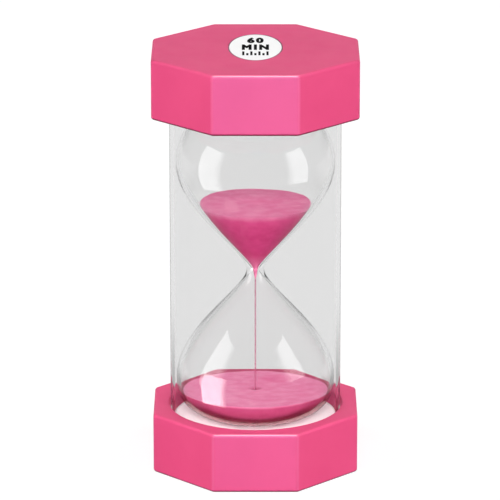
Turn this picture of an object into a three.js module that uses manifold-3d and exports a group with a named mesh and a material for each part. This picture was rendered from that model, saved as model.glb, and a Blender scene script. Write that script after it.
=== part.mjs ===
// Sand timer: a glass vessel with two bulbs, held between foam pads in a clear tube
// that stands in the sockets of two octagonal moulded caps.
// Millimetres, +Z up. The origin is the centre of the face it stands on, and a flat
// side of the caps looks along -Y.

import * as THREE from 'three';
import { mergeVertices } from 'three/addons/utils/BufferGeometryUtils.js';
import Module from 'manifold-3d';

const wasm = await Module();
wasm.setup();

// ---------------------------------------------------------------------------
// Driving dimensions
// ---------------------------------------------------------------------------

// The whole timer.
const acrossFlats = 76.5;
const overallHeight = 160;

// Caps: each is a moulded shell closed by a moulded collar.
const capHeight = 22.8;
const capEdgeRadius = 1.1;
const capCornerRadius = 2;
const capWall = 2;
const ribThickness = 1.2;
const ribRingRadii = [7, 24];
const flatCount = 8;

// Collar: plate, tube socket and the pins that lock it into the shell.
const plateThickness = 2;
const socketDepth = 10.6;
const socketWall = 1.8;
const socketFloor = 2;
const socketMouthRadius = 0.5;
const pinRadius = 1;
const pinLength = 6;
const postWall = 0.85;

// Clear tube.
const tubeWall = 1.5;

// Glass vessel.
const bulbWall = 1.4;
const baseWall = 1.1;
const neckRadius = 3.3;
const throatRadius = 1.2;
const neckRun = 7.4;
const shoulderRun = 17.5;
const flareTaper = 4;
const lowerDomeHeight = 16.1;
const lowerDomeFullness = 2.8;
const upperDomeHeight = 25.9;
const upperDomeFullness = 2;
const stemRadius = 5.2;
const stemWall = 1.7;

// Filling plug.
const plugHeadThickness = 1.5;
const plugLength = 6;

// Foam pads.
const padThickness = 4.5;
const padUnderDome = 4.7;
const padBossRadius = 13;
const padHoleMargin = 1.2;

// Sand: depths on the axis, and tilts in degrees, highest at the front.
const upperSandDepth = 25.75;
const upperSandTilt = 2.6;
const upperCraterRadius = 12;
const upperCraterDepth = 0.9;
const lowerSandDepth = 9.3;
const lowerSandTilt = 4.4;
const lowerCraterRadius = 2.6;
const lowerCraterDepth = 1;
const streamRadius = 0.3;
const streamTaper = 3.5;

// Time label.
const labelWidth = 20.4;
const labelLength = 39.4;
const labelShift = 2.9;
const labelThickness = 0.3;
const labelRecess = 0.4;

// Clearances.
const postClearance = 0.37;
const socketClearance = 0.5;
const bulbClearance = 0.8;
const pinClearance = 0.15;
const softGap = 0.3;
const plugClearance = 0.5;
const labelClearance = 0.15;

// Facets.
const facetsAround = 40;
const facetsSmall = 10;
const flareSteps = 9;
const domeSteps = 6;
const edgeSteps = 3;

// ---------------------------------------------------------------------------
// Derived sizes
// ---------------------------------------------------------------------------

// Across: the posts fit between the shell's walls and the socket, the tube in the
// socket and the bulbs in the tube.
const halfCorner = Math.PI / flatCount;
const postRadius = pinRadius + pinClearance + postWall;
const postReach = (acrossFlats / 2 - capWall - postClearance - postRadius) / Math.cos(halfCorner);
const socketOutside = postReach - postRadius - postClearance;
const socketRadius = socketOutside - socketWall;
const tubeRadius = socketRadius - socketClearance;
const tubeBore = tubeRadius - tubeWall;
const bulbRadius = tubeBore - bulbClearance;
const bulbBore = bulbRadius - bulbWall;
const stemBore = stemRadius - stemWall;

// Up: the tube stands between the pads, and the vessel between the dishes of the pads.
const seamHeight = capHeight - capEdgeRadius;
const plateUnderside = capHeight - plateThickness;
const socketFloorTop = capHeight - socketDepth;
const socketUnderside = socketFloorTop - socketFloor;
const padTop = socketFloorTop + padThickness;
const vesselBottom = socketFloorTop + padUnderDome + softGap;
const vesselTop = overallHeight - vesselBottom;
const bulbReach = (vesselTop - vesselBottom - lowerDomeHeight - upperDomeHeight) / 2;
const lowerWidest = vesselBottom + lowerDomeHeight;
const throatHeight = lowerWidest + bulbReach;
const upperWidest = throatHeight + bulbReach;
const stemTop = overallHeight - socketFloorTop - plugClearance - plugHeadThickness;

// ---------------------------------------------------------------------------
// Solids
// ---------------------------------------------------------------------------

function toSolid(geometry) {
  const bare = new THREE.BufferGeometry();
  bare.setAttribute('position', geometry.getAttribute('position'));
  bare.setIndex(geometry.getIndex());
  const merged = mergeVertices(bare, 1e-4);
  const corners = merged.getIndex().array;
  const kept = [];
  for (let i = 0; i < corners.length; i += 3) {
    const [a, b, c] = corners.slice(i, i + 3);
    if (a !== b && b !== c && c !== a) kept.push(a, b, c);
  }
  const mesh = new wasm.Mesh({
    numProp: 3,
    vertProperties: new Float32Array(merged.getAttribute('position').array),
    triVerts: new Uint32Array(kept),
  });
  return new wasm.Manifold(mesh);
}

function toGeometry(solid) {
  const mesh = solid.getMesh();
  const geometry = new THREE.BufferGeometry();
  geometry.setAttribute('position', new THREE.BufferAttribute(mesh.vertProperties, 3));
  geometry.setIndex(new THREE.BufferAttribute(mesh.triVerts, 1));
  return geometry;
}

// A solid of revolution about Z from [radius, height] points, run up the outside.
function turned(points, facets = facetsAround) {
  const profile = points.map(([radius, height]) => new THREE.Vector2(radius, height));
  return toSolid(new THREE.LatheGeometry(profile, facets).rotateX(Math.PI / 2));
}

function cylinder(radius, low, high, facets = facetsAround) {
  return turned([[0, low], [radius, low], [radius, high], [0, high]], facets);
}

function ring(inner, outer, low, high, facets = facetsAround) {
  const points = [[inner, low], [outer, low], [outer, high], [inner, high], [inner, low]];
  return turned(points, facets);
}

// A bar along X from start to end, centred on Y.
function bar(start, end, thickness, low, high) {
  const box = new THREE.BoxGeometry(end - start, thickness, high - low);
  return toSolid(box.translate((start + end) / 2, 0, (low + high) / 2));
}

// Everything between two heights, wider than the caps on every side.
function layer(low, high) {
  return bar(-acrossFlats, acrossFlats, 2 * acrossFlats, low, high);
}

// A regular outline with rounded corners and one flat side along -Y.
function capOutline(inset, cornerRadius) {
  const apothem = acrossFlats / 2 - inset;
  const reach = (apothem - cornerRadius) / Math.cos(halfCorner);
  const shape = new THREE.Shape();
  for (let k = 0; k < flatCount; k += 1) {
    const angle = (2 * k + 1) * halfCorner;
    const x = reach * Math.cos(angle);
    const y = reach * Math.sin(angle);
    shape.absarc(x, y, cornerRadius, angle - halfCorner, angle + halfCorner, false);
  }
  return shape;
}

// The whole cap's outer form, with both end edges rounded.
function capForm() {
  const geometry = new THREE.ExtrudeGeometry(capOutline(0, capCornerRadius), {
    depth: capHeight - 2 * capEdgeRadius,
    bevelThickness: capEdgeRadius,
    bevelSize: capEdgeRadius,
    bevelOffset: -capEdgeRadius,
    bevelSegments: edgeSteps,
    curveSegments: 2,
  });
  return toSolid(geometry.translate(0, 0, capEdgeRadius));
}

// The cap's outline moved in by inset, between two heights.
function capPrism(inset, low, high) {
  const cornerRadius = Math.max(capCornerRadius - inset, ribThickness / 2);
  const outline = capOutline(inset, cornerRadius);
  const geometry = new THREE.ExtrudeGeometry(outline, {
    depth: high - low,
    bevelEnabled: false,
    curveSegments: 2,
  });
  return toSolid(geometry.translate(0, 0, low));
}

// One copy of a piece in each corner. The piece is made in the corner on the X axis.
function inCorners(makePiece) {
  const pieces = [];
  for (let k = 0; k < flatCount; k += 1) {
    pieces.push(makePiece().rotate([0, 0, ((k + 0.5) * 360) / flatCount]));
  }
  return pieces.reduce((whole, piece) => whole.add(piece));
}

function post(radius, low, high) {
  return cylinder(radius, low, high, facetsSmall).translate([postReach, 0, 0]);
}

// ---------------------------------------------------------------------------
// Caps, modelled as the bottom one: outer face at z = 0, collar on top
// ---------------------------------------------------------------------------

// Shell: tray with ribs that carry the socket, and in each corner a hollow post
// that a web ties to the walls.
function capShell() {
  const outside = capForm().intersect(layer(-1, seamHeight));
  const tray = outside.subtract(capPrism(capWall, capWall, capHeight));
  const rooted = capWall / 2;
  const ribStart = ribRingRadii[0] + ribThickness / 2;
  let ribbed = tray;
  for (const radius of ribRingRadii) {
    ribbed = ribbed.add(ring(radius, radius + ribThickness, rooted, socketUnderside));
  }
  for (let k = 0; k < flatCount; k += 1) {
    const rib = bar(ribStart, acrossFlats / 2 - rooted, ribThickness, rooted, socketUnderside);
    ribbed = ribbed.add(rib.rotate([0, 0, (k * 360) / flatCount]));
  }
  const posts = inCorners(() => post(postRadius, rooted, plateUnderside));
  const cornerReach = (acrossFlats / 2 - rooted) / Math.cos(halfCorner);
  const webs = inCorners(() => bar(postReach, cornerReach, ribThickness, rooted, plateUnderside));
  const holeDepth = pinLength + 2 * pinClearance;
  const holeRadius = pinRadius + pinClearance;
  const holes = inCorners(() => post(holeRadius, plateUnderside - holeDepth, capHeight));
  return ribbed.add(posts).add(webs).subtract(holes);
}

// Collar: rounded plate on the shell's rim, tube socket and locking pins.
function capCollar() {
  const rim = capForm().intersect(layer(seamHeight, capHeight + 1));
  const insert = capPrism(capWall + pinClearance, plateUnderside, seamHeight + capEdgeRadius / 2);
  const cup = cylinder(socketOutside, socketUnderside, seamHeight);
  const mouth = [[0, socketFloorTop], [socketRadius, socketFloorTop]];
  for (let step = 0; step <= edgeSteps; step += 1) {
    const angle = (step * Math.PI) / 2 / edgeSteps;
    mouth.push([
      socketRadius + socketMouthRadius * (1 - Math.cos(angle)),
      capHeight - socketMouthRadius * (1 - Math.sin(angle)),
    ]);
  }
  mouth.push([socketRadius + socketMouthRadius, capHeight + 1], [0, capHeight + 1]);
  const pins = inCorners(() => post(pinRadius, plateUnderside - pinLength, seamHeight));
  return rim.add(insert).add(cup).subtract(turned(mouth)).add(pins);
}

// ---------------------------------------------------------------------------
// Vessel curves: radius across, height up
// ---------------------------------------------------------------------------

// A bulb's end: a quarter of a superellipse from its widest ring to its tip.
class DomeCurve extends THREE.Curve {
  constructor(radius, height, fullness) {
    super();
    this.radius = radius;
    this.height = height;
    this.fullness = fullness;
  }

  getPoint(t, target = new THREE.Vector2()) {
    const angle = (t * Math.PI) / 2;
    const power = 2 / this.fullness;
    const across = Math.max(Math.cos(angle), 0) ** power;
    return target.set(this.radius * across, this.height * Math.sin(angle) ** power);
  }

  // Where along the curve it has come in to a given radius.
  reaches(radius) {
    return Math.acos((radius / this.radius) ** (this.fullness / 2)) / (Math.PI / 2);
  }
}

// A bulb's flare from the neck out to its widest ring, heights from the neck.
function flareCurve(start, end, run, shoulder) {
  return new THREE.CubicBezierCurve(
    new THREE.Vector2(start, 0),
    new THREE.Vector2(start, run),
    new THREE.Vector2(end, bulbReach - shoulder),
    new THREE.Vector2(end, bulbReach),
  );
}

const outerFlare = flareCurve(neckRadius, bulbRadius, neckRun, shoulderRun);
const innerFlare = flareCurve(throatRadius, bulbBore, neckRun - flareTaper, shoulderRun - flareTaper);
const outerLowerDome = new DomeCurve(bulbRadius, lowerDomeHeight, lowerDomeFullness);
const innerLowerDome = new DomeCurve(bulbBore, lowerDomeHeight - baseWall, lowerDomeFullness);
const outerUpperDome = new DomeCurve(bulbRadius, upperDomeHeight, upperDomeFullness);
const innerUpperDome = new DomeCurve(bulbBore, upperDomeHeight - bulbWall, upperDomeFullness);

// Points along a curve, moved sideways by offset to its outer side, as [radius, height].
function sampled(curve, steps, base, direction, offset = 0, end = 1) {
  const points = [];
  for (let step = 0; step <= steps; step += 1) {
    const t = (step / steps) * end;
    const point = curve.getPoint(t);
    const tangent = curve.getTangent(t);
    const radius = Math.max(point.x + offset * tangent.y, 0);
    points.push([radius, base + direction * (point.y - offset * tangent.x)]);
  }
  return points;
}

// Both bulbs' side from the lower tip to the upper dome, from bottom to top.
function vesselSide(flare, lowerDome, upperDome, offset, upperEnd) {
  const dome = sampled(lowerDome, domeSteps, lowerWidest, -1, offset);
  const lowerSide = sampled(flare, flareSteps, throatHeight, -1, offset);
  const upperSide = sampled(flare, flareSteps, throatHeight, 1, offset);
  const top = sampled(upperDome, domeSteps, upperWidest, 1, offset, upperEnd);
  dome[dome.length - 1][0] = 0;
  return [
    ...dome.reverse(),
    ...lowerSide.reverse().slice(1),
    ...upperSide.slice(1),
    ...top.slice(1),
  ];
}

// ---------------------------------------------------------------------------
// Vessel, plug and pads
// ---------------------------------------------------------------------------

function glassVessel() {
  const outerEnd = outerUpperDome.reaches(stemRadius);
  const innerEnd = innerUpperDome.reaches(stemBore);
  const outside = vesselSide(outerFlare, outerLowerDome, outerUpperDome, 0, outerEnd);
  const inside = vesselSide(innerFlare, innerLowerDome, innerUpperDome, 0, innerEnd);
  return turned([
    ...outside,
    [stemRadius, stemTop],
    [stemBore, stemTop],
    ...inside.reverse(),
  ]);
}

function fillingPlug() {
  const bodyRadius = stemBore - softGap;
  const bodyBottom = stemTop - plugLength;
  return turned([
    [0, bodyBottom],
    [bodyRadius - softGap, bodyBottom],
    [bodyRadius, bodyBottom + 1],
    [bodyRadius, stemTop],
    [stemRadius, stemTop],
    [stemRadius, stemTop + plugHeadThickness],
    [0, stemTop + plugHeadThickness],
  ]);
}

// Pad: flange under the tube's end, and a boss dished to the vessel's dome.
function foamPad(dome, domeHeight) {
  const padRadius = socketRadius - softGap;
  const bossTop = padTop + domeHeight;
  const pad = turned([
    [0, socketFloorTop],
    [padRadius, socketFloorTop],
    [padRadius, padTop],
    [padBossRadius, padTop],
    [padBossRadius, bossTop],
    [0, bossTop],
  ]);
  const seat = sampled(dome, domeSteps, vesselBottom + domeHeight, -1, softGap);
  seat[seat.length - 1][0] = 0;
  seat.reverse();
  return pad.subtract(turned([...seat, [0, seat[seat.length - 1][1]]]));
}

function upperPad() {
  const hole = cylinder(stemRadius + padHoleMargin, 0, padTop + upperDomeHeight, facetsAround);
  return foamPad(outerUpperDome, upperDomeHeight).subtract(hole);
}

// ---------------------------------------------------------------------------
// Sand
// ---------------------------------------------------------------------------

const sandBottom = lowerWidest - innerLowerDome.height + softGap;
const upperSandLevel = throatHeight + upperSandDepth;
const lowerSandLevel = sandBottom + lowerSandDepth;
const streamTop = throatHeight - streamTaper;
const streamBottom = lowerSandLevel - lowerCraterDepth;

// Everything that sand could fill, a gap inside the glass.
function sandSpace() {
  const side = vesselSide(innerFlare, innerLowerDome, innerUpperDome, -softGap, 0.5);
  return turned([...side, [0, side[side.length - 1][1]]]);
}

// What lies under a tilted sand surface. The hollow is its outline from the rim in to the
// axis, as [radius, height above the surface].
function underSurface(level, tilt, hollow) {
  const reach = 2 * bulbRadius;
  const block = turned([[0, -reach], [reach, -reach], [reach, 0], ...hollow]);
  return block.rotate([-tilt, 0, 0]).translate([0, 0, level]);
}

function upperSand() {
  const throatSand = throatRadius - softGap;
  const column = turned([
    [0, streamTop],
    [streamRadius, streamTop],
    [throatSand, throatHeight],
    [bulbRadius, throatHeight],
    [bulbRadius, upperWidest],
    [0, upperWidest],
  ]);
  const crater = [[upperCraterRadius, 0], [0, -upperCraterDepth]];
  return sandSpace()
    .intersect(column)
    .intersect(underSurface(upperSandLevel, upperSandTilt, crater));
}

// The crater's wall runs on above the surface, so that it cuts the tilted one all round.
function lowerSand() {
  const crater = turned([
    [0, streamBottom],
    [streamRadius, streamBottom],
    [2 * lowerCraterRadius - streamRadius, lowerSandLevel + lowerCraterDepth],
    [0, lowerSandLevel + lowerCraterDepth],
  ]);
  return sandSpace()
    .intersect(underSurface(lowerSandLevel, lowerSandTilt, [[0, 0]]))
    .subtract(crater);
}

// ---------------------------------------------------------------------------
// Label, in the top cap's own frame: its outer face is at z = 0
// ---------------------------------------------------------------------------

function labelDisc(margin, low, high) {
  const shape = new THREE.Shape();
  shape.absellipse(0, -labelShift, labelWidth / 2 - margin, labelLength / 2 - margin, 0, 2 * Math.PI);
  const geometry = new THREE.ExtrudeGeometry(shape, {
    depth: high - low,
    bevelEnabled: false,
    curveSegments: facetsAround / 2,
  });
  return toSolid(geometry.translate(0, 0, low));
}

// ---------------------------------------------------------------------------
// Assembly
// ---------------------------------------------------------------------------

function addPiece(parent, name, solid, look) {
  const material = new THREE.MeshStandardMaterial(look);
  const mesh = new THREE.Mesh(toGeometry(solid), material);
  mesh.name = name;
  parent.add(mesh);
}

const pinkPlastic = { color: 0xe9568f, roughness: 0.42, metalness: 0 };
const clearPlastic = { color: 0xf2f4f4, roughness: 0.05, metalness: 0 };
const glass = { color: 0xe8ecec, roughness: 0.02, metalness: 0 };
const whiteFoam = { color: 0xf4f2ef, roughness: 0.9, metalness: 0 };
const silicone = { color: 0xdfe3e4, roughness: 0.6, metalness: 0 };
const pinkSand = { color: 0xd24a80, roughness: 0.95, metalness: 0 };
const labelVinyl = { color: 0xffffff, roughness: 0.5, metalness: 0 };

const timer = new THREE.Group();
const topEnd = new THREE.Group();
topEnd.rotation.x = Math.PI;
topEnd.position.z = overallHeight;
timer.add(topEnd);

addPiece(timer, 'bottom_cap_shell', capShell(), pinkPlastic);
addPiece(timer, 'bottom_cap_collar', capCollar(), pinkPlastic);
addPiece(timer, 'lower_foam_pad', foamPad(outerLowerDome, lowerDomeHeight), whiteFoam);
addPiece(timer, 'outer_tube', ring(tubeBore, tubeRadius, padTop, overallHeight - padTop), clearPlastic);
addPiece(timer, 'glass_vessel', glassVessel(), glass);
addPiece(timer, 'filling_plug', fillingPlug(), silicone);
addPiece(timer, 'sand_upper', upperSand(), pinkSand);
addPiece(timer, 'sand_stream', cylinder(streamRadius, streamBottom, streamTop, facetsSmall), pinkSand);
addPiece(timer, 'sand_lower', lowerSand(), pinkSand);
addPiece(topEnd, 'upper_foam_pad', upperPad(), whiteFoam);
addPiece(topEnd, 'top_cap_collar', capCollar(), pinkPlastic);
addPiece(topEnd, 'top_cap_shell', capShell().subtract(labelDisc(0, -1, labelRecess)), pinkPlastic);
addPiece(
  topEnd,
  'time_label',
  labelDisc(labelClearance, labelRecess - labelThickness, labelRecess),
  labelVinyl,
);

export default timer;
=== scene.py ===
from math import acos, cos, pi, radians, sin, sqrt, tan

import bmesh
import bpy
from mathutils import Matrix, Vector, noise


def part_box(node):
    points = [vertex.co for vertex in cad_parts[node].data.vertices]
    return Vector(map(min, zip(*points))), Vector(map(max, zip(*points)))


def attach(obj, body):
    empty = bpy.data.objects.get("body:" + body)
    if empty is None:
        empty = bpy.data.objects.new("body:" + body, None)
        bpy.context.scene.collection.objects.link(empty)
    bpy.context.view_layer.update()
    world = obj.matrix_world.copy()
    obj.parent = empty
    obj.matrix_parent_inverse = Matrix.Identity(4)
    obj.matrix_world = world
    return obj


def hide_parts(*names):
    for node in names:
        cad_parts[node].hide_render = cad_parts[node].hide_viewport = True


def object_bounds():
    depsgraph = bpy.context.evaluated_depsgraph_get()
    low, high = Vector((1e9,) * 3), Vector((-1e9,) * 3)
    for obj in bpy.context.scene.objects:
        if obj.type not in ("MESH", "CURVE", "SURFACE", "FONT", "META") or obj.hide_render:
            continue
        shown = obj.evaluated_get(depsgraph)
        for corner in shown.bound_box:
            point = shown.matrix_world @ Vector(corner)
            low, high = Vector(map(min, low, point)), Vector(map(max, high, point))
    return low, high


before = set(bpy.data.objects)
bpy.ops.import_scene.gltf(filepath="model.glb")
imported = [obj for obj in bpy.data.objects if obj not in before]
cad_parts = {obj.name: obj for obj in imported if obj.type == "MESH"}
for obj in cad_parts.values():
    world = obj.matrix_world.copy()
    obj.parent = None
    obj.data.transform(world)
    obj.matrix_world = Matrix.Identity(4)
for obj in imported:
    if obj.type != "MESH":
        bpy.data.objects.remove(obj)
cad_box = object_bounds()

# ---------------------------------------------------------------------------
# Bottom cap shell. An octagonal tray, injection-moulded in pink plastic, that
# the timer stands on. Ribs inside it carry the socket, and a hollow post in
# each corner takes a pin of the collar.
# ---------------------------------------------------------------------------

mm = 0.001

shell_low, shell_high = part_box("bottom_cap_shell")
collar_low, collar_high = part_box("bottom_cap_collar")
across_flats = shell_high.x - shell_low.x
seam_height = shell_high.z
cap_height = collar_high.z
socket_underside = collar_low.z
flat_count = 8
half_corner = pi / flat_count
edge_radius = cap_height - seam_height
corner_radius = 2 * mm
cap_wall = 2 * mm
rib_thickness = 1.2 * mm
rib_rings = (7 * mm, 24 * mm)
plate_thickness = 2 * mm
plate_underside = cap_height - plate_thickness
pin_radius = 1 * mm
pin_length = 6 * mm
pin_clearance = 0.15 * mm
post_wall = 0.85 * mm
post_radius = pin_radius + pin_clearance + post_wall
post_clearance = 0.37 * mm
post_reach = (across_flats / 2 - cap_wall - post_clearance - post_radius) / cos(half_corner)


class Signal:
    """A number or a colour on its way through a finish, which sums can be written with."""

    def __init__(self, finish, socket):
        self.finish = finish
        self.socket = socket

    def maths(self, operation, first, second=0.0):
        return self.finish.add("ShaderNodeMath", {"operation": operation}, {0: first, 1: second})

    def __add__(self, other):
        return self.maths("ADD", self, other)

    def __mul__(self, other):
        return self.maths("MULTIPLY", self, other)

    def __sub__(self, other):
        return self.maths("SUBTRACT", self, other)

    def __rsub__(self, other):
        return self.maths("SUBTRACT", other, self)

    def __pow__(self, other):
        return self.maths("POWER", self, other)

    def __abs__(self):
        return self.maths("ABSOLUTE", self)

    __radd__ = __add__
    __rmul__ = __mul__


class Finish:
    """A material, or a world, that is built up node by node."""

    def __init__(self, owner):
        self.owner = owner
        owner.use_nodes = True
        self.tree = owner.node_tree
        self.tree.nodes.clear()

    def add(self, kind, settings=None, sockets=None, output=0):
        """Adds a node: its settings first, then the values or signals of its sockets."""
        node = self.tree.nodes.new(kind)
        for name, value in (settings or {}).items():
            setattr(node, name, value)
        for name, value in (sockets or {}).items():
            if isinstance(value, Signal):
                self.tree.links.new(value.socket, node.inputs[name])
            else:
                node.inputs[name].default_value = value
        return Signal(self, node.outputs[output]) if node.outputs else None

    def place(self):
        return self.add("ShaderNodeTexCoord", output="Object")

    def grain(self, size, detail=2.0, roughness=0.5, stretch=(1, 1, 1)):
        """Soft noise from 0 to 1, with features of about that size."""
        spot = self.add("ShaderNodeMapping", sockets={"Vector": self.place(), "Scale": stretch})
        sockets = {"Vector": spot, "Scale": 1 / size, "Detail": detail, "Roughness": roughness}
        return self.add("ShaderNodeTexNoise", sockets=sockets)

    def normal(self):
        """Which way the surface faces, as three signals."""
        facing = self.add("ShaderNodeNewGeometry", output="Normal")
        return [self.add("ShaderNodeSeparateXYZ", sockets={0: facing}, output=k) for k in range(3)]

    def step(self, signal, start, end, low=0.0, high=1.0):
        """Goes smoothly from low to high as the signal goes from start to end."""
        sockets = {"Value": signal, 1: start, 2: end, 3: low, 4: high}
        return self.add("ShaderNodeMapRange", {"interpolation_type": "SMOOTHSTEP"}, sockets)

    def blend(self, share, first, second):
        """One colour turning into another as the share goes from 0 to 1."""
        sockets = {0: share, 6: first, 7: second}
        return self.add("ShaderNodeMix", {"data_type": "RGBA"}, sockets, output=2)

    def bump(self, height, depth, strength=1.0):
        sockets = {"Height": height, "Distance": depth, "Strength": strength}
        return self.add("ShaderNodeBump", sockets=sockets)

    def either(self, share, first, second):
        """One shader turning into another as the share goes from 0 to 1."""
        return self.add("ShaderNodeMixShader", sockets={0: share, 1: first, 2: second})

    def shader(self, **sockets):
        """A Principled shader, its sockets given in lower case with _ for each space."""
        titles = {name: name.replace("_", " ").title().replace("Ior", "IOR") for name in sockets}
        named = {titles[name]: value for name, value in sockets.items()}
        return self.add("ShaderNodeBsdfPrincipled", sockets=named)

    def done(self, surface):
        self.add("ShaderNodeOutputMaterial", sockets={"Surface": surface})
        return self.owner


def moulded_pink():
    """Satin pink plastic: fine mould grain, slow swirls of pigment, painted highlight on the upright corners and
    painted shade along the roundings that face down.
    """
    finish = Finish(bpy.data.materials.new("moulded_pink"))
    swirl = finish.step(finish.grain(30 * mm, 3), 0.3, 0.7)
    colour = finish.blend(swirl, (0.82, 0.078, 0.222, 1), (0.86, 0.088, 0.239, 1))
    across, along, up = finish.normal()
    azimuth = across.maths("ARCTAN2", along, across)
    half_turns = azimuth * (flat_count / 2)
    turn = abs(half_turns.maths("SINE", half_turns))
    upright = finish.step(abs(up), 0.2, 0.6, 1.0, 0.0)
    # Painted highlight: the upright corners between the flats turn a paler pink.
    corner = finish.step(turn, 0.35, 0.95) * upright
    colour = finish.blend(corner * 0.25, colour, (0.90, 0.20, 0.42, 1))
    # Painted shade: the roundings that face down darken to a deep red.
    under = finish.step(up, -0.2, -0.5) * finish.step(up, -0.99, -0.95)
    colour = finish.blend(under, colour, (0.26, 0.010, 0.045, 1))
    dull = finish.step(finish.grain(9 * mm, 4), 0.35, 0.75, 0.42, 0.48)
    relief = finish.bump(finish.grain(0.35 * mm, 2), 0.004 * mm)
    surface = finish.shader(
        base_color=colour, roughness=dull, normal=relief, specular_ior_level=0.07
    )
    return finish.done(surface)


cap_plastic = moulded_pink()


def bare_cap(sides=flat_count, corner_steps=6, edge_steps=8):
    """The whole cap as a block with rounded corners and end edges, one flat side to the front."""
    bm = bmesh.new()
    apothem = across_flats / 2
    turn = Matrix.Rotation(half_corner, 4, "Z")
    reach = apothem / cos(half_corner)
    bmesh.ops.create_circle(bm, cap_ends=True, radius=reach, segments=sides, matrix=turn)
    bmesh.ops.bevel(
        bm, geom=bm.verts[:], offset=corner_radius * tan(half_corner), affect="VERTICES",
        segments=corner_steps, profile=0.5, material=-1,
    )
    raised = bmesh.ops.extrude_face_region(bm, geom=bm.faces[:])["geom"]
    top = [part for part in raised if isinstance(part, bmesh.types.BMVert)]
    bmesh.ops.translate(bm, verts=top, vec=(0, 0, cap_height))
    bmesh.ops.recalc_face_normals(bm, faces=bm.faces)
    ends = [face for face in bm.faces if abs(face.normal.z) > 0.9]
    rims = {edge for face in ends for edge in face.edges}
    bmesh.ops.bevel(
        bm, geom=list(rims), offset=edge_radius, affect="EDGES",
        segments=edge_steps, profile=0.5, material=-1,
    )
    return bm


def boundary(bm, height):
    """The open edges at a height."""
    return [
        edge for edge in bm.edges
        if edge.is_boundary and all(abs(vert.co.z - height) < 1e-6 for vert in edge.verts)
    ]


def part_at_seam(bm, keep_lower):
    """Cuts the cap along its parting line, keeps one side and closes the cut with a face."""
    bmesh.ops.bisect_plane(
        bm, geom=bm.verts[:] + bm.edges[:] + bm.faces[:], dist=1e-7,
        plane_co=(0, 0, seam_height), plane_no=(0, 0, 1),
        clear_outer=keep_lower, clear_inner=not keep_lower,
    )
    cut = bmesh.ops.contextual_create(bm, geom=boundary(bm, seam_height))["faces"][0]
    bmesh.ops.recalc_face_normals(bm, faces=bm.faces)
    return cut


def step_face(bm, face, inset, rise):
    """Insets a flat face and moves its middle out, or in where the rise is negative."""
    bmesh.ops.inset_region(bm, faces=[face], thickness=inset, use_even_offset=True)
    outwards = face.normal.copy()
    moved_parts = bmesh.ops.extrude_face_region(bm, geom=[face])["geom"]
    moved = [part for part in moved_parts if isinstance(part, bmesh.types.BMVert)]
    bmesh.ops.translate(bm, verts=moved, vec=outwards * rise)
    bmesh.ops.delete(bm, geom=[face], context="FACES_ONLY")
    return [part for part in moved_parts if isinstance(part, bmesh.types.BMFace)][0]


def revolve(bm, outline, steps=128, closed=False):
    """Turns (radius, height) points about the upright axis and returns the new faces."""
    before = set(bm.faces)
    points = [bm.verts.new((radius, 0, height)) for radius, height in outline]
    pairs = list(zip(points, points[1:]))
    if closed:
        pairs.append((points[-1], points[0]))
    lines = [bm.edges.new(pair) for pair in pairs]
    bmesh.ops.spin(
        bm, geom=points + lines, cent=(0, 0, 0), axis=(0, 0, 1), dvec=(0, 0, 0),
        angle=2 * pi, steps=steps, use_merge=True, use_duplicate=False,
    )
    bmesh.ops.remove_doubles(bm, verts=bm.verts, dist=0.5e-6)
    return [face for face in bm.faces if face not in before]


def cylinder(bm, radius, low, high, reach=0, angle=0, steps=24):
    """A closed round bar, on the axis or at a reach from it."""
    place = Matrix.Rotation(angle, 4, "Z") @ Matrix.Translation((reach, 0, (low + high) / 2))
    bmesh.ops.create_cone(
        bm, cap_ends=True, radius1=radius, radius2=radius, depth=high - low,
        segments=steps, matrix=place,
    )


def bar(bm, start, end, thickness, low, high, angle):
    """A flat rib that runs outwards from the axis."""
    place = (
        Matrix.Rotation(angle, 4, "Z")
        @ Matrix.Translation(((start + end) / 2, 0, (low + high) / 2))
        @ Matrix.Diagonal((end - start, thickness, high - low, 1))
    )
    bmesh.ops.create_cube(bm, size=1, matrix=place)


def crease(faces, limit=radians(30)):
    """Shades the faces as round ones, apart from level and large flat ones and sharp edges."""
    largest_rounding = 50 * mm * mm
    for face in faces:
        face.smooth = abs(face.normal.z) < 0.9999 and face.calc_area() < largest_rounding
        for edge in face.edges:
            edge.smooth = edge.calc_face_angle(0) < limit


def turn_over(bm):
    """Moves a piece of the bottom end to the same place on the top end."""
    height = cad_box[1].z
    bmesh.ops.rotate(bm, verts=bm.verts, cent=(0, 0, height / 2), matrix=Matrix.Rotation(pi, 3, "X"))


def finished(bm, name, material, slot, *nodes):
    """Makes the mesh an object that stands for its CAD nodes."""
    mesh = bpy.data.meshes.new(name)
    bm.to_mesh(mesh)
    bm.free()
    piece = bpy.data.objects.new(name, mesh)
    bpy.context.scene.collection.objects.link(piece)
    mesh.materials.append(material)
    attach(piece, "root")
    if nodes:
        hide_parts(*nodes)
    return piece


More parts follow.
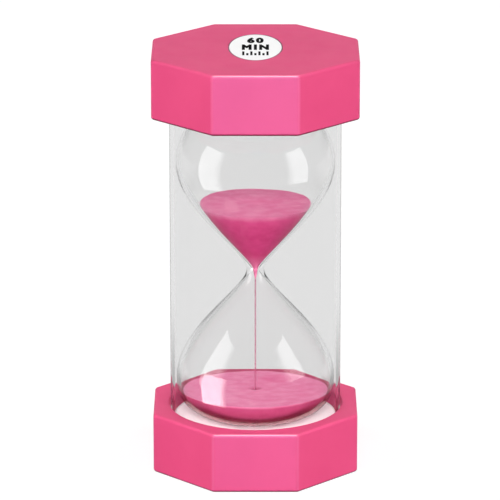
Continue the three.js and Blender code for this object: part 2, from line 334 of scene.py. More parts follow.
def cap_shell():
    bm = bare_cap()
    step_face(bm, part_at_seam(bm, keep_lower=True), cap_wall, cap_wall - seam_height)
    rooted = cap_wall / 2
    for radius in rib_rings:
        outline = [
            (radius, rooted), (radius + rib_thickness, rooted),
            (radius + rib_thickness, socket_underside), (radius, socket_underside),
        ]
        revolve(bm, outline, steps=64, closed=True)
    rib_start = rib_rings[0] + rib_thickness / 2
    rib_end = across_flats / 2 - rooted
    corner_reach = rib_end / cos(half_corner)
    for k in range(flat_count):
        flat = 2 * k * half_corner
        corner = flat + half_corner
        bar(bm, rib_start, rib_end, rib_thickness, rooted, socket_underside, flat)
        bar(bm, post_reach + post_radius / 2, corner_reach, rib_thickness, rooted, plate_underside, corner)
        hollow = bmesh.new()
        bore = pin_radius + pin_clearance
        bore_floor = plate_underside - pin_length - 2 * pin_clearance
        outline = [
            (0, rooted), (post_radius, rooted), (post_radius, plate_underside),
            (bore, plate_underside), (bore, bore_floor), (0, bore_floor),
        ]
        revolve(hollow, outline, steps=24)
        place = Matrix.Rotation(corner, 4, "Z") @ Matrix.Translation((post_reach, 0, 0))
        bmesh.ops.transform(hollow, matrix=place, verts=hollow.verts)
        post = bpy.data.meshes.new("post")
        hollow.to_mesh(post)
        hollow.free()
        bm.from_mesh(post)
        bpy.data.meshes.remove(post)
    bmesh.ops.recalc_face_normals(bm, faces=bm.faces)
    crease(bm.faces)
    return bm


lower_shell = finished(cap_shell(), "lower_cap_shell", cap_plastic, "cap_plastic", "bottom_cap_shell")

# ---------------------------------------------------------------------------
# Bottom cap collar. The same pink plastic, glued down on the shell's rim with
# a pin in each post: a rounded plate, and under it the cup that the tube
# stands in.
# ---------------------------------------------------------------------------

pad_low, pad_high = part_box("lower_foam_pad")
tube_low, tube_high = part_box("outer_tube")
soft_gap = 0.3 * mm
socket_clearance = 0.5 * mm
socket_wall = 1.8 * mm
socket_radius = tube_high.x + socket_clearance
socket_outside = socket_radius + socket_wall
socket_floor_top = pad_low.z
mouth_radius = 0.5 * mm


def arc(centre, radius, start, end, steps):
    """Points of a circular arc in the outline's plane, angles in degrees from outwards to up."""
    angles = [radians(start + (end - start) * k / steps) for k in range(steps + 1)]
    return [(centre[0] + radius * cos(a), centre[1] + radius * sin(a)) for a in angles]


def cap_collar():
    bm = bare_cap()
    cut = part_at_seam(bm, keep_lower=False)
    under = step_face(bm, cut, cap_wall + pin_clearance, seam_height - plate_underside)
    top = max(bm.faces, key=lambda face: face.calc_center_median().z)
    bmesh.ops.delete(bm, geom=[under, top], context="FACES_ONLY")
    mouth = arc((socket_radius + mouth_radius, cap_height - mouth_radius), mouth_radius, 90, 180, 6)
    revolve(bm, [*mouth, (socket_radius, socket_floor_top), (0, socket_floor_top)])
    cup = [(socket_outside, plate_underside), (socket_outside, socket_underside), (0, socket_underside)]
    revolve(bm, cup)
    for height in (cap_height, plate_underside):
        bmesh.ops.triangle_fill(bm, use_beauty=True, edges=boundary(bm, height), normal=(0, 0, 1))
    for k in range(flat_count):
        corner = (2 * k + 1) * half_corner
        cylinder(bm, pin_radius, plate_underside - pin_length, seam_height, post_reach, corner)
    bmesh.ops.recalc_face_normals(bm, faces=bm.faces)
    crease(bm.faces)
    return bm


lower_collar = finished(cap_collar(), "lower_cap_collar", cap_plastic, "cap_plastic", "bottom_cap_collar")

# ---------------------------------------------------------------------------
# Lower foam pad. A disc of white closed-cell foam pressed into the socket. The
# tube stands on its flange, and a dished boss in the middle takes the bulb.
# ---------------------------------------------------------------------------

pad_radius = pad_high.x
pad_thickness = tube_low.z - socket_floor_top
pad_boss_radius = 13 * mm
pad_rounding = 0.5 * mm

vessel_low, vessel_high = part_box("glass_vessel")
bulb_radius = vessel_high.x
overall_height = cad_box[1].z
lower_dome_height = 16.1 * mm
lower_dome_fullness = 2.8
upper_dome_height = 25.9 * mm
upper_dome_fullness = 2.0
vessel_bottom = vessel_low.z
vessel_top = overall_height - vessel_bottom


def dome_radius(radius, height, fullness, drop):
    """How wide a bulb's end is at a drop below its widest ring."""
    share = min(drop / height, 1)
    return radius * (1 - share ** fullness) ** (1 / fullness)


def dome_points(radius, height, fullness, steps, end=0.0):
    """The bulb's end as (radius, drop) points from its widest ring in to a radius."""
    last = acos((end / radius) ** (fullness / 2))
    angles = [last * k / steps for k in range(steps + 1)]
    power = 2 / fullness
    return [(radius * cos(a) ** power, height * sin(a) ** power) for a in angles]


def white_foam():
    """Closed-cell foam: pores, a soft waxy skin and a faint pink tint."""
    finish = Finish(bpy.data.materials.new("white_foam"))
    cells = finish.add(
        "ShaderNodeTexVoronoi", sockets={"Vector": finish.place(), "Scale": 1 / (0.7 * mm)}
    )
    tone = finish.step(finish.grain(8 * mm, 3), 0.3, 0.7)
    colour = finish.blend(tone, (0.91, 0.80, 0.82, 1), (0.96, 0.87, 0.89, 1))
    relief = finish.bump(cells, 0.05 * mm, 0.5)
    surface = finish.shader(
        base_color=colour, roughness=0.85, normal=relief, specular_ior_level=0.3
    )
    return finish.done(surface)


foam = white_foam()


def foam_pad(height, fullness, hole=0.0):
    """A pad as it lies in the bottom socket, dished for a bulb's end of that form."""
    top = socket_floor_top + pad_thickness
    tip = vessel_bottom - soft_gap
    boss = pad_boss_radius - pad_rounding
    seat = [
        (radius, tip + height - drop)
        for radius, drop in dome_points(bulb_radius, height, fullness, 24, hole)
        if radius < boss
    ]
    edge = seat[0][1] if seat else top
    outline = [
        (hole, socket_floor_top),
        (pad_radius, socket_floor_top),
        *arc((pad_radius - pad_rounding, top - pad_rounding), pad_rounding, 0, 90, 4),
        (pad_boss_radius, top),
        *arc((pad_boss_radius - pad_rounding, edge - pad_rounding), pad_rounding, 0, 60, 4),
        *seat,
    ]
    bm = bmesh.new()
    faces = revolve(bm, outline, closed=hole > 0)
    bmesh.ops.recalc_face_normals(bm, faces=bm.faces)
    crease(faces, radians(50))
    return bm


lower_pad = finished(
    foam_pad(lower_dome_height, lower_dome_fullness), "lower_pad", foam, "white_foam", "lower_foam_pad"
)

# ---------------------------------------------------------------------------
# Clear tube. Extruded clear plastic, cut square at both ends and pressed
# between the pads. It guards the glass and carries the top cap.
# ---------------------------------------------------------------------------

tube_wall = 1.5 * mm
tube_radius = tube_high.x


def see_through(finish, surface, shade):
    """Lets lamp light and soft light pass straight through to what is behind."""
    rays = finish.add("ShaderNodeLightPath", output="Is Diffuse Ray")
    lamps = finish.add("ShaderNodeLightPath", output="Is Shadow Ray")
    first = finish.add("ShaderNodeBsdfTransparent", sockets={"Color": shade})
    second = finish.add("ShaderNodeBsdfTransparent", sockets={"Color": shade})
    return finish.either(lamps, finish.either(rays, surface, first), second)


def skin(finish):
    """1 on the outside of a turned wall and 0 on its inside, and 1 where it is met from behind."""
    facing = finish.add("ShaderNodeNewGeometry", output="Normal")
    behind = finish.add("ShaderNodeNewGeometry", output="Backfacing")
    level = {"operation": "MULTIPLY"}
    outwards = finish.add("ShaderNodeVectorMath", level, {0: finish.place(), 1: (1, 1, 0)})
    along = finish.add("ShaderNodeVectorMath", {"operation": "DOT_PRODUCT"}, {0: outwards, 1: facing}, 1)
    outside = (along * (1 - behind * 2)).maths("GREATER_THAN", along * (1 - behind * 2), 0)
    return outside, behind


def clear_plastic():
    """Clear grey-toned plastic with faint draw lines from the extruder."""
    finish = Finish(bpy.data.materials.new("clear_plastic"))
    lines = finish.grain(2 * mm, 2, stretch=(1, 1, 0.02))
    outside, behind = skin(finish)
    edge = finish.add("ShaderNodeLayerWeight", sockets={"Blend": 0.5}, output="Facing")
    depths = [
        finish.shader(
            base_color=finish.blend(lines, (shade, shade, shade, 1), (shade + 0.01, shade + 0.01, shade + 0.01, 1)),
            roughness=0.0, ior=1.03, transmission_weight=1.0,
        )
        for shade in (0.845, 0.69, 0.38)
    ]
    surface = finish.either(finish.step(edge, 0.70, 0.72) * outside, depths[0], depths[1])
    surface = finish.either(finish.step(edge, 0.85, 0.865) * outside, surface, depths[2])
    return finish.done(see_through(finish, surface, (1, 1, 1, 1)))


def clear_tube():
    bm = bmesh.new()
    bore = tube_radius - tube_wall
    chamfer = 0.15 * mm
    low, high = tube_low.z, tube_high.z
    outline = [
        (bore + chamfer, low), (tube_radius - chamfer, low), (tube_radius, low + chamfer),
        (tube_radius, high - chamfer), (tube_radius - chamfer, high), (bore + chamfer, high),
        (bore, high - chamfer), (bore, low + chamfer),
    ]
    faces = revolve(bm, outline, steps=192, closed=True)
    bmesh.ops.recalc_face_normals(bm, faces=bm.faces)
    crease(faces)
    return bm


tube = finished(clear_tube(), "clear_tube", clear_plastic(), "clear_tube", "outer_tube")

# ---------------------------------------------------------------------------
# Glass vessel. One blown body of clear glass: two bulbs, the narrow throat
# between them that times the sand, and a short stem on top for filling it.
# ---------------------------------------------------------------------------

bulb_wall = 1.4 * mm
base_wall = 1.1 * mm
neck_radius = 3.3 * mm
throat_radius = 1.2 * mm
neck_run = 7.4 * mm
shoulder_run = 17.5 * mm
flare_taper = 4 * mm
stem_radius = 5.2 * mm
stem_wall = 1.7 * mm
stem_top = vessel_high.z
bulb_bore = bulb_radius - bulb_wall
bulb_reach = (vessel_top - vessel_bottom - lower_dome_height - upper_dome_height) / 2
lower_widest = vessel_bottom + lower_dome_height
throat_height = lower_widest + bulb_reach
upper_widest = throat_height + bulb_reach


def flare(start, end, taper, steps):
    """A bulb's side as (radius, distance from the throat) points, on a cubic Bezier curve."""
    corners = [
        Vector((start, 0)),
        Vector((start, neck_run - taper)),
        Vector((end, bulb_reach - shoulder_run + taper)),
        Vector((end, bulb_reach)),
    ]
    points = []
    for k in range(steps + 1):
        t = k / steps
        shares = ((1 - t) ** 3, 3 * t * (1 - t) ** 2, 3 * t * t * (1 - t), t ** 3)
        points.append(sum((corner * share for corner, share in zip(corners, shares)), Vector((0, 0))))
    return points


def vessel_side(neck, bulb, taper, base, roof, top_radius):
    """The vessel's side from its bottom tip to where the stem starts, at a wall's depth."""
    side = flare(neck, bulb, taper, 48)
    bottom = dome_points(bulb, lower_dome_height - base, lower_dome_fullness, 32)
    top = dome_points(bulb, upper_dome_height - roof, upper_dome_fullness, 32, top_radius)
    return [
        *[(radius, lower_widest - drop) for radius, drop in reversed(bottom)],
        *[(radius, throat_height - run) for radius, run in reversed(side)][1:],
        *[(radius, throat_height + run) for radius, run in side][1:],
        *[(radius, upper_widest + rise) for radius, rise in top][1:],
    ]


def clear_glass():
    """Blown glass with slight waves in its wall, and painted shade as a dark brown band on the lower bulb's bottom.
    """
    finish = Finish(bpy.data.materials.new("clear_glass"))
    waves = finish.bump(finish.grain(14 * mm, 2), 0.02 * mm, 0.4)
    tone = finish.grain(20 * mm, 2)
    colour = finish.blend(tone, (0.99, 0.995, 0.995, 1), (1.0, 0.995, 0.995, 1))
    outside, behind = skin(finish)
    across, along, up = finish.normal()
    edge = finish.add("ShaderNodeLayerWeight", sockets={"Blend": 0.5}, output="Facing")
    height = finish.add("ShaderNodeSeparateXYZ", sockets={0: finish.place()}, output="Z")
    # Painted shade: a dark brown band on the lower bulb's bottom dome, away from its middle.
    base = finish.step(height, lower_widest - 2 * mm, lower_widest - 8 * mm) * finish.step(edge, 0.28, 0.42)
    base = base * finish.step(edge, 0.72, 0.55, 0.1, 1.0)
    colour = finish.blend(base * outside, colour, (0.34, 0.15, 0.16, 1))
    colour = finish.blend(finish.step(edge, 0.84, 0.92) * outside, colour, (0.66, 0.66, 0.66, 1))
    surface = finish.shader(
        base_color=colour, roughness=0.0, ior=1.1, transmission_weight=1.0, normal=waves,
        coat_weight=outside * (1 - behind) * finish.step(up, -0.36, -0.22),
        coat_roughness=0.03, coat_ior=1.65,
    )
    return finish.done(see_through(finish, surface, (1, 1, 1, 1)))


def glass_vessel():
    stem_bore = stem_radius - stem_wall
    outside = vessel_side(neck_radius, bulb_radius, 0, 0, 0, stem_radius)
    inside = vessel_side(throat_radius, bulb_bore, flare_taper, base_wall, bulb_wall, stem_bore)
    lip = stem_wall / 2
    rim = arc((stem_radius - lip, stem_top - lip), lip, 0, 180, 8)
    bm = bmesh.new()
    faces = revolve(bm, [*outside, *rim, *reversed(inside)], steps=160)
    bmesh.ops.recalc_face_normals(bm, faces=bm.faces)
    crease(faces, radians(60))
    return bm


vessel = finished(glass_vessel(), "blown_vessel", clear_glass(), "vessel_glass", "glass_vessel")

# ---------------------------------------------------------------------------
# Filling plug. A soft silicone stopper pushed into the stem once the sand is
# in. The top pad holds it down.
# ---------------------------------------------------------------------------

plug_low, plug_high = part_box("filling_plug")


def silicone():
    """Milky silicone with a faint moulding grain."""
    finish = Finish(bpy.data.materials.new("milky_silicone"))
    colour = finish.blend(finish.grain(1.5 * mm, 3), (0.62, 0.64, 0.66, 1), (0.72, 0.74, 0.75, 1))
    relief = finish.bump(finish.grain(0.2 * mm), 0.01 * mm)
    return finish.done(finish.shader(base_color=colour, roughness=0.55, normal=relief))


def stopper():
    body = stem_radius - stem_wall - soft_gap
    head = plug_high.x
    softness = 0.3 * mm
    ridge = 0.2 * mm
    outline = [(0, plug_low.z), (body - softness, plug_low.z)]
    ridges = 3
    pitch = (stem_top - plug_low.z) / (ridges + 1)
    for k in range(1, ridges + 1):
        height = plug_low.z + k * pitch
        outline += [(body - ridge, height - pitch / 3), (body, height), (body - ridge, height + pitch / 3)]
    outline += [
        (body, stem_top),
        *arc((head - softness, stem_top + softness), softness, -90, 0, 4),
        *arc((head - softness, plug_high.z - softness), softness, 0, 90, 4),
        (0, plug_high.z),
    ]
    bm = bmesh.new()
    faces = revolve(bm, outline, steps=64)
    bmesh.ops.recalc_face_normals(bm, faces=bm.faces)
    crease(faces, radians(50))
    return bm


finished(stopper(), "stem_plug", silicone(), "plug_silicone", "filling_plug")

# ---------------------------------------------------------------------------
# Sand. Fine dyed quartz. It drains from the upper bulb through the throat,
# falls as a thin stream and spreads over the bottom of the lower bulb.
# ---------------------------------------------------------------------------

stream_low, stream_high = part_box("sand_stream")
upper_level = throat_height + 25.75 * mm
upper_crater_radius = 12 * mm
upper_crater_depth = 0.9 * mm
lower_crater_radius = 2.6 * mm
lower_crater_depth = 1 * mm
lower_level = stream_low.z + lower_crater_depth
upper_tilt = radians(2.6)
lower_tilt = radians(4.4)
stream_radius = stream_high.x


def dyed_sand():
    """Pink grains: darker further below the level and paler near the throat, with painted light on the level tops
    and painted shade on the lower sand's sides, its crater and a patch to the back.
    """
    finish = Finish(bpy.data.materials.new("dyed_sand"))
    grains = finish.grain(0.25 * mm, 2, 0.7)
    clumps = finish.step(finish.grain(4 * mm, 4, 0.6), 0.35, 0.68)
    drifts = finish.step(finish.grain(16 * mm, 2), 0.4, 0.6)
    deep_down = finish.blend(clumps, (0.65, 0.021, 0.170, 1), (0.75, 0.040, 0.228, 1))
    resting = finish.blend(clumps, (0.79, 0.052, 0.240, 1), (0.87, 0.082, 0.292, 1))
    pale_and_lit = finish.blend(clumps * 0.6 + drifts * 0.4, (0.87, 0.200, 0.400, 1), (0.96, 0.330, 0.530, 1))
    height = finish.add("ShaderNodeSeparateXYZ", sockets={0: finish.place()}, output="Z")
    across, along, up = finish.normal()
    upper_depth = upper_level + 1.4 * mm - height
    lower_depth = lower_level + 2.0 * mm - height
    in_upper = height.maths("GREATER_THAN", height, throat_height - neck_run)
    depth = lower_depth + (upper_depth - lower_depth) * in_upper
    # Darker further below the level.
    colour = finish.blend(finish.step(depth, 2 * mm, 9 * mm), resting, deep_down)
    # Painted shade: the lower sand's sides darken below its level.
    painted_low_side_shade = finish.step(lower_depth, 0, 1.2 * mm, 0.0, 0.38)
    colour = finish.blend(painted_low_side_shade * (1 - in_upper), colour, (0.30, 0.020, 0.045, 1))
    # Paler near the throat.
    near_throat = finish.step(height, throat_height + 1 * mm, throat_height + 8 * mm, 0.7, 0.0) * in_upper
    colour = finish.blend(near_throat, colour, pale_and_lit)
    # Painted light: the level tops, and a band just under their rims, take the paler colour.
    lying = finish.step(up, 0.55, 0.85)
    near_level_top = finish.step(depth * (1 - in_upper * 0.7), 0, 1.0 * mm, 1.0, 0.0)
    colour = finish.blend(lying.maths("MAXIMUM", lying, near_level_top), colour, pale_and_lit)
    flat_place = finish.add("ShaderNodeVectorMath", {"operation": "MULTIPLY"}, {0: finish.place(), 1: (1, 1, 0)})
    reach = finish.add("ShaderNodeVectorMath", {"operation": "LENGTH"}, {0: flat_place}, "Value")
    # Painted shade: the lower crater darkens round the stream's foot.
    painted_crater_shade = finish.step(reach, 0.8 * mm, 3.0 * mm, 0.75, 0.0) * (1 - in_upper)
    # Painted shadow: a darker patch on the lower sand, to the back right.
    away = finish.add(
        "ShaderNodeVectorMath", {"operation": "DISTANCE"}, {0: flat_place, 1: (8 * mm, 15 * mm, 0)}, "Value"
    )
    painted_shadow_patch = finish.step(away, 4 * mm, 8 * mm, 0.35, 0.0) * (1 - in_upper)
    colour = finish.blend(painted_shadow_patch, colour, resting)
    colour = finish.blend(painted_crater_shade, colour, (0.42, 0.020, 0.110, 1))
    speck = finish.step(grains, 0.3, 0.75, 0.0, 0.2)
    colour = finish.blend(speck, colour, (0.95, 0.30, 0.48, 1))
    relief = finish.bump(grains, 0.08 * mm, 0.6)
    return finish.done(finish.shader(base_color=colour, roughness=0.9, normal=relief))


sand_finish = dyed_sand()


def inner_side():
    """The inside of the glass, moved in by the gap that the sand keeps from it."""
    side = vessel_side(throat_radius, bulb_bore, flare_taper, base_wall, bulb_wall, bulb_bore / 2)
    moved = []
    for before, here, after in zip(side, side[1:], side[2:]):
        slope = Vector((after[0] - before[0], after[1] - before[1])).normalized()
        moved.append((here[0] - soft_gap * slope.y, here[1] + soft_gap * slope.x))
    return [(0, side[0][1] + soft_gap), *moved]


def crossing(side, level):
    """Where the side passes a height."""
    for below, above in zip(side, side[1:]):
        if below[1] <= level <= above[1] and above[1] > below[1]:
            share = (level - below[1]) / (above[1] - below[1])
            return (below[0] + share * (above[0] - below[0]), level)
    raise ValueError("the side never passes that height")


side = inner_side()


def settle(bm, level, fixed, tilt):
    """Tilts a level surface to the back and ruffles it, and fits what is above a fixed height to the glass."""
    for vert in bm.verts:
        if vert.co.z > fixed:
            share = (vert.co.z - fixed) / (level - fixed)
            ripple = 0.12 * mm * noise.noise(vert.co / (6 * mm)) + 0.05 * mm * noise.noise(vert.co / (2 * mm))
            lift = share * (ripple - vert.co.y * tan(tilt))
            fit = crossing(side, vert.co.z + lift)[0] / crossing(side, vert.co.z)[0]
            vert.co = (vert.co.x * fit, vert.co.y * fit, vert.co.z + lift)


def lying(rim, crater_radius, crater_depth, steps):
    """A level surface with a crater in its middle, from the rim in, as outline points."""
    radii = [rim[0] * (1 - k / steps) for k in range(1, steps + 1)]
    return [(r, rim[1] - crater_depth * max(0, 1 - r / crater_radius) ** 1.5) for r in radii]


def upper_sand():
    rim = crossing(side, upper_level)
    wall = [point for point in side if throat_height < point[1] < upper_level]
    bm = bmesh.new()
    faces = revolve(bm, [
        (0, stream_high.z), (stream_radius, stream_high.z), crossing(side, throat_height),
        *wall, rim, *lying(rim, upper_crater_radius, upper_crater_depth, 48),
    ], steps=160)
    settle(bm, upper_level, (throat_height + upper_level) / 2, upper_tilt)
    bmesh.ops.recalc_face_normals(bm, faces=bm.faces)
    crease(faces, radians(40))
    return bm


def lower_sand():
    rim = crossing(side, lower_level)
    wall = [point for point in side if point[1] < lower_level]
    bm = bmesh.new()
    faces = revolve(
        bm, [*wall, rim, *lying(rim, lower_crater_radius, lower_crater_depth, 60)], steps=160
    )
    settle(bm, lower_level, (side[0][1] + lower_level) / 2, lower_tilt)
    bmesh.ops.recalc_face_normals(bm, faces=bm.faces)
    crease(faces, radians(40))
    return bm


upper_grains = finished(upper_sand(), "upper_sand", sand_finish, "pink_sand", "sand_upper")
lower_grains = finished(lower_sand(), "lower_sand", sand_finish, "pink_sand", "sand_lower")


def falling_sand():
    """Grains in the air: pink, with more air than sand between them."""
    finish = Finish(bpy.data.materials.new("falling_sand"))
    streaks = finish.grain(0.3 * mm, 2, stretch=(1, 1, 0.25))
    colour = finish.blend(streaks, (0.62, 0.10, 0.25, 1), (0.75, 0.22, 0.38, 1))
    thin = finish.step(streaks, 0.2, 0.8, 0.25, 0.6)
    return finish.done(finish.shader(base_color=colour, roughness=0.9, alpha=thin))


def stream():
    bm = bmesh.new()
    cylinder(bm, stream_radius, stream_low.z, stream_high.z, steps=16)
    crease(bm.faces)
    return bm


finished(stream(), "falling_stream", falling_sand(), "pink_sand", "sand_stream")

# ---------------------------------------------------------------------------
# Upper foam pad. The same foam in the top socket, with a deeper dish for the
# upper bulb and a hole that the stem stands in.
# ---------------------------------------------------------------------------

pad_hole_margin = 1.2 * mm
upper_pad_mesh = foam_pad(upper_dome_height, upper_dome_fullness, stem_radius + pad_hole_margin)
turn_over(upper_pad_mesh)
upper_pad = finished(upper_pad_mesh, "upper_pad", foam, "white_foam", "upper_foam_pad")

# ---------------------------------------------------------------------------
# Top cap. The same two mouldings turned over, with a shallow oval recess in
# the outer face for the label.
# ---------------------------------------------------------------------------

label_low, label_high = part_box("time_label")
label_clearance = 0.15 * mm
label_recess = overall_height - label_low.z
label_half_width = (label_high.x - label_low.x) / 2
label_half_length = (label_high.y - label_low.y) / 2
label_middle = (label_low.y + label_high.y) / 2


def oval(bm, half_width, half_length, middle, height, steps=96):
    """A flat oval face, wound so that it faces up."""
    place = Matrix.Translation((0, middle, height)) @ Matrix.Diagonal((half_width, half_length, 1, 1))
    return bmesh.ops.create_circle(bm, cap_ends=True, radius=1, segments=steps, matrix=place)["verts"]


def recessed_shell():
    """The shell with the oval cut into its outer face, still in the bottom cap's place."""
    bm = cap_shell()
    base = min(bm.faces, key=lambda face: (round(face.calc_center_median().z, 6), -face.calc_area()))
    rim = base.edges[:]
    bmesh.ops.delete(bm, geom=[base], context="FACES_ONLY")
    edge = oval(bm, label_half_width + label_clearance, label_half_length + label_clearance, -label_middle, 0)
    floor = edge[0].link_faces[0]
    loop = floor.edges[:]
    raised = bmesh.ops.extrude_face_region(bm, geom=[floor])["geom"]
    moved = [part for part in raised if isinstance(part, bmesh.types.BMVert)]
    bmesh.ops.translate(bm, verts=moved, vec=(0, 0, label_recess))
    if floor.is_valid:
        bmesh.ops.delete(bm, geom=[floor], context="FACES_ONLY")
    bmesh.ops.triangle_fill(bm, use_beauty=True, edges=rim + loop, normal=(0, 0, -1))
    bmesh.ops.recalc_face_normals(bm, faces=bm.faces)
    crease(bm.faces)
    return bm


top_shell = recessed_shell()
turn_over(top_shell)
upper_shell = finished(top_shell, "upper_cap_shell", cap_plastic, "cap_plastic", "top_cap_shell")
top_collar = cap_collar()
turn_over(top_collar)
upper_collar = finished(top_collar, "upper_cap_collar", cap_plastic, "cap_plastic", "top_cap_collar")

# ---------------------------------------------------------------------------
# Time label. An oval of white vinyl stuck in the recess, printed in black with
# the minutes that the sand runs.
# ---------------------------------------------------------------------------


def vinyl():
    """White vinyl with a slight orange-peel surface and painted shade in a thin dark ring along its edge."""
    finish = Finish(bpy.data.materials.new("white_vinyl"))
    colour = finish.blend(finish.grain(6 * mm, 3), (0.94, 0.94, 0.94, 1), (0.98, 0.98, 0.98, 1))
    squeeze = (1 / label_half_width, 1 / label_half_length, 0)
    middle = finish.add("ShaderNodeMapping", sockets={
        "Vector": finish.place(), "Location": (0, -label_middle / label_half_length, 0), "Scale": squeeze,
    })
    reach = finish.add("ShaderNodeVectorMath", {"operation": "LENGTH"}, {0: middle}, "Value")
    # Painted shade: a thin dark ring along the label's edge.
    colour = finish.blend(finish.step(reach, 0.95, 0.975), colour, (0.16, 0.04, 0.08, 1))
    relief = finish.bump(finish.grain(0.6 * mm), 0.01 * mm)
    return finish.done(finish.shader(base_color=colour, roughness=0.4, normal=relief))


def label_disc():
    bm = bmesh.new()
    oval(bm, label_half_width, label_half_length, label_middle, label_low.z)
    raised = bmesh.ops.extrude_face_region(bm, geom=bm.faces[:])["geom"]
    moved = [part for part in raised if isinstance(part, bmesh.types.BMVert)]
    bmesh.ops.translate(bm, verts=moved, vec=(0, 0, label_high.z - label_low.z))
    bmesh.ops.recalc_face_normals(bm, faces=bm.faces)
    return bm


label = finished(label_disc(), "vinyl_label", vinyl(), "label_print", "time_label")


def ink():
    """Black screen ink, a little uneven in cover."""
    finish = Finish(bpy.data.materials.new("black_ink"))
    colour = finish.blend(finish.grain(0.4 * mm, 3), (0.002, 0.002, 0.002, 1), (0.005, 0.005, 0.006, 1))
    return finish.done(finish.shader(base_color=colour, roughness=0.6, specular_ior_level=0.03))


print_height = 0.02 * mm
black = ink()


def printed(name, bm, width, length, middle):
    """Fits flat print to a width and length on the label, and gives it the ink's thickness."""
    lows = [min(vert.co[k] for vert in bm.verts) for k in range(2)]
    highs = [max(vert.co[k] for vert in bm.verts) for k in range(2)]
    centre = Vector(((lows[0] + highs[0]) / 2, (lows[1] + highs[1]) / 2, 0))
    scale = Vector((width / (highs[0] - lows[0]), length / (highs[1] - lows[1]), 1))
    bmesh.ops.translate(bm, verts=bm.verts, vec=-centre)
    bmesh.ops.scale(bm, verts=bm.verts, vec=scale)
    bmesh.ops.translate(bm, verts=bm.verts, vec=(0, middle, label_high.z))
    raised = bmesh.ops.extrude_face_region(bm, geom=bm.faces[:])["geom"]
    moved = [part for part in raised if isinstance(part, bmesh.types.BMVert)]
    bmesh.ops.translate(bm, verts=moved, vec=(0, 0, print_height))
    bmesh.ops.recalc_face_normals(bm, faces=bm.faces)
    return finished(bm, name, black, "label_print")


def lettering(words):
    """The words as a flat mesh in a bold face."""
    curve = bpy.data.curves.new("words", "FONT")
    curve.body = words
    curve.size = 10
    curve.space_character = 1.35
    holder = bpy.data.objects.new("words", curve)
    bpy.context.scene.collection.objects.link(holder)
    bpy.context.view_layer.update()
    flat = bpy.data.meshes.new_from_object(holder)
    bpy.data.objects.remove(holder)
    bpy.data.curves.remove(curve)
    bm = bmesh.new()
    bm.from_mesh(flat)
    bpy.data.meshes.remove(flat)
    bmesh.ops.remove_doubles(bm, verts=bm.verts, dist=1e-4)
    bmesh.ops.inset_region(
        bm, faces=bm.faces[:], thickness=-0.71, use_boundary=True, use_even_offset=True
    )
    return bm


printed("minutes_number", lettering("60"), 6.1 * mm, 8.2 * mm, label_middle + 10.3 * mm)
printed("minutes_word", lettering("MIN"), 10.0 * mm, 7.9 * mm, label_middle + 0.1 * mm)

tick_count = 7


def tick_row():
    """A row of small marks, each second one longer."""
    bm = bmesh.new()
    for k in range(tick_count):
        length = 1.0 if k % 2 == 0 else 0.55
        place = Matrix.Translation((k, (length - 1) / 2, 0)) @ Matrix.Diagonal((0.27, length / 2, 1, 1))
        bmesh.ops.create_grid(bm, x_segments=1, y_segments=1, size=1, matrix=place)
    return bm


printed("minutes_ticks", tick_row(), 9.7 * mm, 5.6 * mm, label_middle - 8.9 * mm)

# ---------------------------------------------------------------------------
# Stage. A pale floor, soft studio lamps round the timer and two tall glowing
# panels that only the glass inside the tube shows.
# ---------------------------------------------------------------------------

scene = bpy.context.scene
scene.view_settings.view_transform = "Standard"


def seen_white(tree_owner):
    """1 for the rays that show a background: straight to it, off gloss or through glass."""
    straight = tree_owner.add("ShaderNodeLightPath", output="Is Camera Ray")
    glossy = tree_owner.add("ShaderNodeLightPath", output="Is Glossy Ray")
    through = tree_owner.add("ShaderNodeLightPath", output="Is Transmission Ray")
    return straight.maths("MAXIMUM", straight.maths("MAXIMUM", straight, glossy), through)


def floor_finish():
    finish = Finish(bpy.data.materials.new("pale_floor"))
    tone = finish.blend(finish.grain(0.4, 2), (0.27, 0.27, 0.27, 1), (0.29, 0.29, 0.29, 1))
    matt = finish.add("ShaderNodeBsdfDiffuse", sockets={"Color": tone})
    glow = finish.add(
        "ShaderNodeEmission", sockets={"Color": (1, 1, 1, 1), "Strength": seen_white(finish) * 0.8}
    )
    return finish.done(finish.add("ShaderNodeAddShader", sockets={0: matt, 1: glow}))


def staged(bm, name, material):
    mesh = bpy.data.meshes.new(name)
    bm.to_mesh(mesh)
    bm.free()
    thing = bpy.data.objects.new(name, mesh)
    scene.collection.objects.link(thing)
    mesh.materials.append(material)
    return thing


ground = bmesh.new()
bmesh.ops.create_circle(ground, cap_ends=True, radius=12, segments=64)
staged(ground, "floor", floor_finish())


def screen(name, outline, start, end, shades, spread):
    """A curved screen round the timer that only gloss and glass show, from azimuth to azimuth."""
    reach = max(radius for radius, height in outline)
    finish = Finish(bpy.data.materials.new(name))
    split = finish.add("ShaderNodeSeparateXYZ", sockets={0: finish.place()}, output="Y")
    fade = finish.step(split, spread[0] * reach, spread[1] * reach, *shades)
    glow = finish.add("ShaderNodeEmission", sockets={"Color": (1, 1, 1, 1), "Strength": fade})
    bounces = finish.add("ShaderNodeLightPath", output="Glossy Depth")
    through = finish.add("ShaderNodeLightPath", output="Is Transmission Ray")
    mirrored = bounces.maths("MAXIMUM", bounces.maths("GREATER_THAN", bounces, 0.5), 1 - through)
    clear = finish.add("ShaderNodeBsdfTransparent")
    surface = finish.either(mirrored, clear, glow)
    bm = bmesh.new()
    points = [bm.verts.new((sin(start) * radius, -cos(start) * radius, height)) for radius, height in outline]
    lines = [bm.edges.new(pair) for pair in zip(points, points[1:])]
    bmesh.ops.spin(
        bm, geom=points + lines, cent=(0, 0, 0), axis=(0, 0, 1), dvec=(0, 0, 0),
        angle=end - start, steps=32,
    )
    thing = staged(bm, name, finish.done(surface))
    thing.visible_camera = False
    thing.visible_diffuse = False
    thing.visible_shadow = False
    return thing


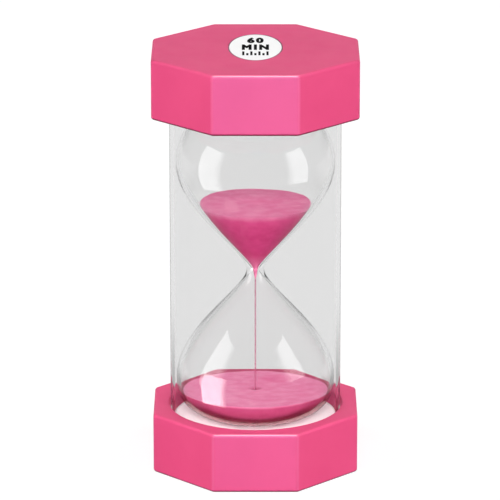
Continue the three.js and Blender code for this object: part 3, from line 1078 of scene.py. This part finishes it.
left_panel = screen(
    "left_panel", [(0.15, 0.022), (0.15, 0.205)], radians(-45), radians(-81), (0.4, 4.2), (-0.75, -0.55)
)
left_foot = screen(
    "left_foot", [(0.056, 0.012), (0.056, 0.049)], radians(-32), radians(-64), (0.4, 10), (-0.86, -0.76)
)
right_panel = screen(
    "right_panel", [(0.15, 0.065), (0.15, 0.205)], radians(41), radians(73.5), (0.4, 4.0), (-0.78, -0.6)
)
hood = screen(
    "dark_hood", [(4, 0.0005), (4, 4), (0, 4)], radians(-180), radians(180), (0.3, 0.5), (-0.2, 0.85)
)
apron = screen(
    "dark_apron", [(0.03, 0.0005), (4, 0.0005)], radians(-180), radians(180), (0.3, 1.0), (0.0, 0.05)
)
for dim in (hood, apron):
    dim.active_material.cycles.emission_sampling = "NONE"


def lamp(name, azimuth, elevation, distance, size, power, colour=(1, 1, 1)):
    """A soft square lamp aimed at the middle of the timer, which gloss and glass don't show."""
    data = bpy.data.lights.new(name, "AREA")
    data.shape = "RECTANGLE"
    data.size, data.size_y = size
    data.energy = power
    data.color = colour
    thing = bpy.data.objects.new(name, data)
    scene.collection.objects.link(thing)
    away = Vector((
        sin(radians(azimuth)) * cos(radians(elevation)),
        -cos(radians(azimuth)) * cos(radians(elevation)),
        sin(radians(elevation)),
    ))
    thing.location = Vector((0, 0, overall_height / 2)) + away * distance
    thing.rotation_mode = "QUATERNION"
    thing.rotation_quaternion = away.to_track_quat("Z", "Y")
    thing.visible_camera = False
    thing.visible_glossy = False
    thing.visible_transmission = False
    return thing


lamp("left_lamp", -90, 30, 2.4, (1.4, 1.4), 20)
lamp("right_lamp", 90, 30, 2.4, (1.4, 1.4), 20)
lamp("back_lamp", 180, 3, 2.4, (1.4, 1.0), 22)
lamp("front_lamp", 0, 15, 2.4, (1.4, 1.0), 41)


def only_on(name, thing, *pieces):
    """Keeps a lamp's light to some of the pieces."""
    group = bpy.data.collections.new(name)
    for piece in pieces:
        group.objects.link(piece)
    thing.light_linking.receiver_collection = group


caps = (lower_shell, lower_collar, upper_shell, upper_collar)
edge_strip = lamp("edge_strip", 0, 68, 2.4, (1.0, 1.0), 1150)
sheen_strip = lamp("sheen_strip", 0, 4, 8, (4, 1.1), 5600, (0.15, 0.42, 1.0))
for strip in (edge_strip, sheen_strip):
    strip.visible_glossy = True
    strip.visible_diffuse = False
    only_on("caps", strip, *caps)
only_on("low_caps", lamp("low_top_lamp", 0, 70, 2.4, (1.6, 1.0), 6), *caps[:2])
only_on("upper_sand", lamp("upper_sand_lamp", 0, 8, 2.4, (1.0, 1.0), 7), upper_grains)
only_on("low_pads", lamp("low_pad_lamp", 0, 30, 2.4, (1.2, 0.5), 95), lower_pad)
only_on("labels", lamp("label_lamp", 0, 76, 2.4, (1.0, 1.0), 12), label)
only_on("glass", left_panel, vessel, tube)
only_on("glass", left_foot, vessel, tube)
only_on("glass", right_panel, vessel, tube)
only_on("sands", lamp("sand_lamp", 0, 34, 2.4, (1.0, 1.0), 26), upper_grains, lower_grains)

world = bpy.data.worlds.new("white_room")
room = Finish(world)
ambient = 0.38
strength = seen_white(room) * (1 - ambient) + ambient
sky = room.add("ShaderNodeBackground", sockets={"Color": (1, 1, 1, 1), "Strength": strength})
room.add("ShaderNodeOutputWorld", sockets={"Surface": sky})
scene.world = world

# ---------------------------------------------------------------------------
# Camera. Level with the front flat, a little above the timer, with a long
# lens.
# ---------------------------------------------------------------------------

aim_height = 80.72 * mm
camera_distance = 1.5587
camera_elevation = radians(17.32)

lens = bpy.data.cameras.new("camera")
lens.lens = 300
lens.sensor_width = 36
lens.shift_x = -0.0108
lens.shift_y = 0.0088
lens.clip_end = 100
camera = bpy.data.objects.new("camera", lens)
scene.collection.objects.link(camera)
away = Vector((0, -cos(camera_elevation), sin(camera_elevation)))
camera.location = Vector((0, 0, aim_height)) + away * camera_distance
camera.rotation_mode = "QUATERNION"
camera.rotation_quaternion = away.to_track_quat("Z", "Y")
scene.camera = camera

bpy.context.view_layer.update()
